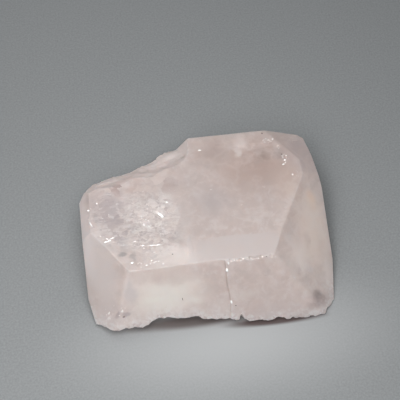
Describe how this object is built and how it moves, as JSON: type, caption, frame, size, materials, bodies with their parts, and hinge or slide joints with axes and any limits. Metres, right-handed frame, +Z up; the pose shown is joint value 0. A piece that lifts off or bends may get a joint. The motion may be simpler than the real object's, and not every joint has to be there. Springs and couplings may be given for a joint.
{
  "type": "morganite crystal",
  "caption": "Rough tabular crystal of pale pink beryl with sloping pyramid faces, one broken long side and a jagged broken foot; lies flat on its lower base face.",
  "frame": {"origin": "on the lower base face that the crystal rests on, under the middle of the crystal", "axes": "+X along the front edge of the upper base face, the longest way of the crystal; -Y out of its front; +Z up, across the tablet from base face to base face"},
  "size_m": [0.0396, 0.0312, 0.0083],
  "materials": {
    "morganite_crystal": "clouded pale pink beryl: glassy worn crystal faces, included and only partly see-through"
  },
  "bodies": {
    "root": {"morganite_crystal": "morganite_crystal"}
  },
  "joints": []
}
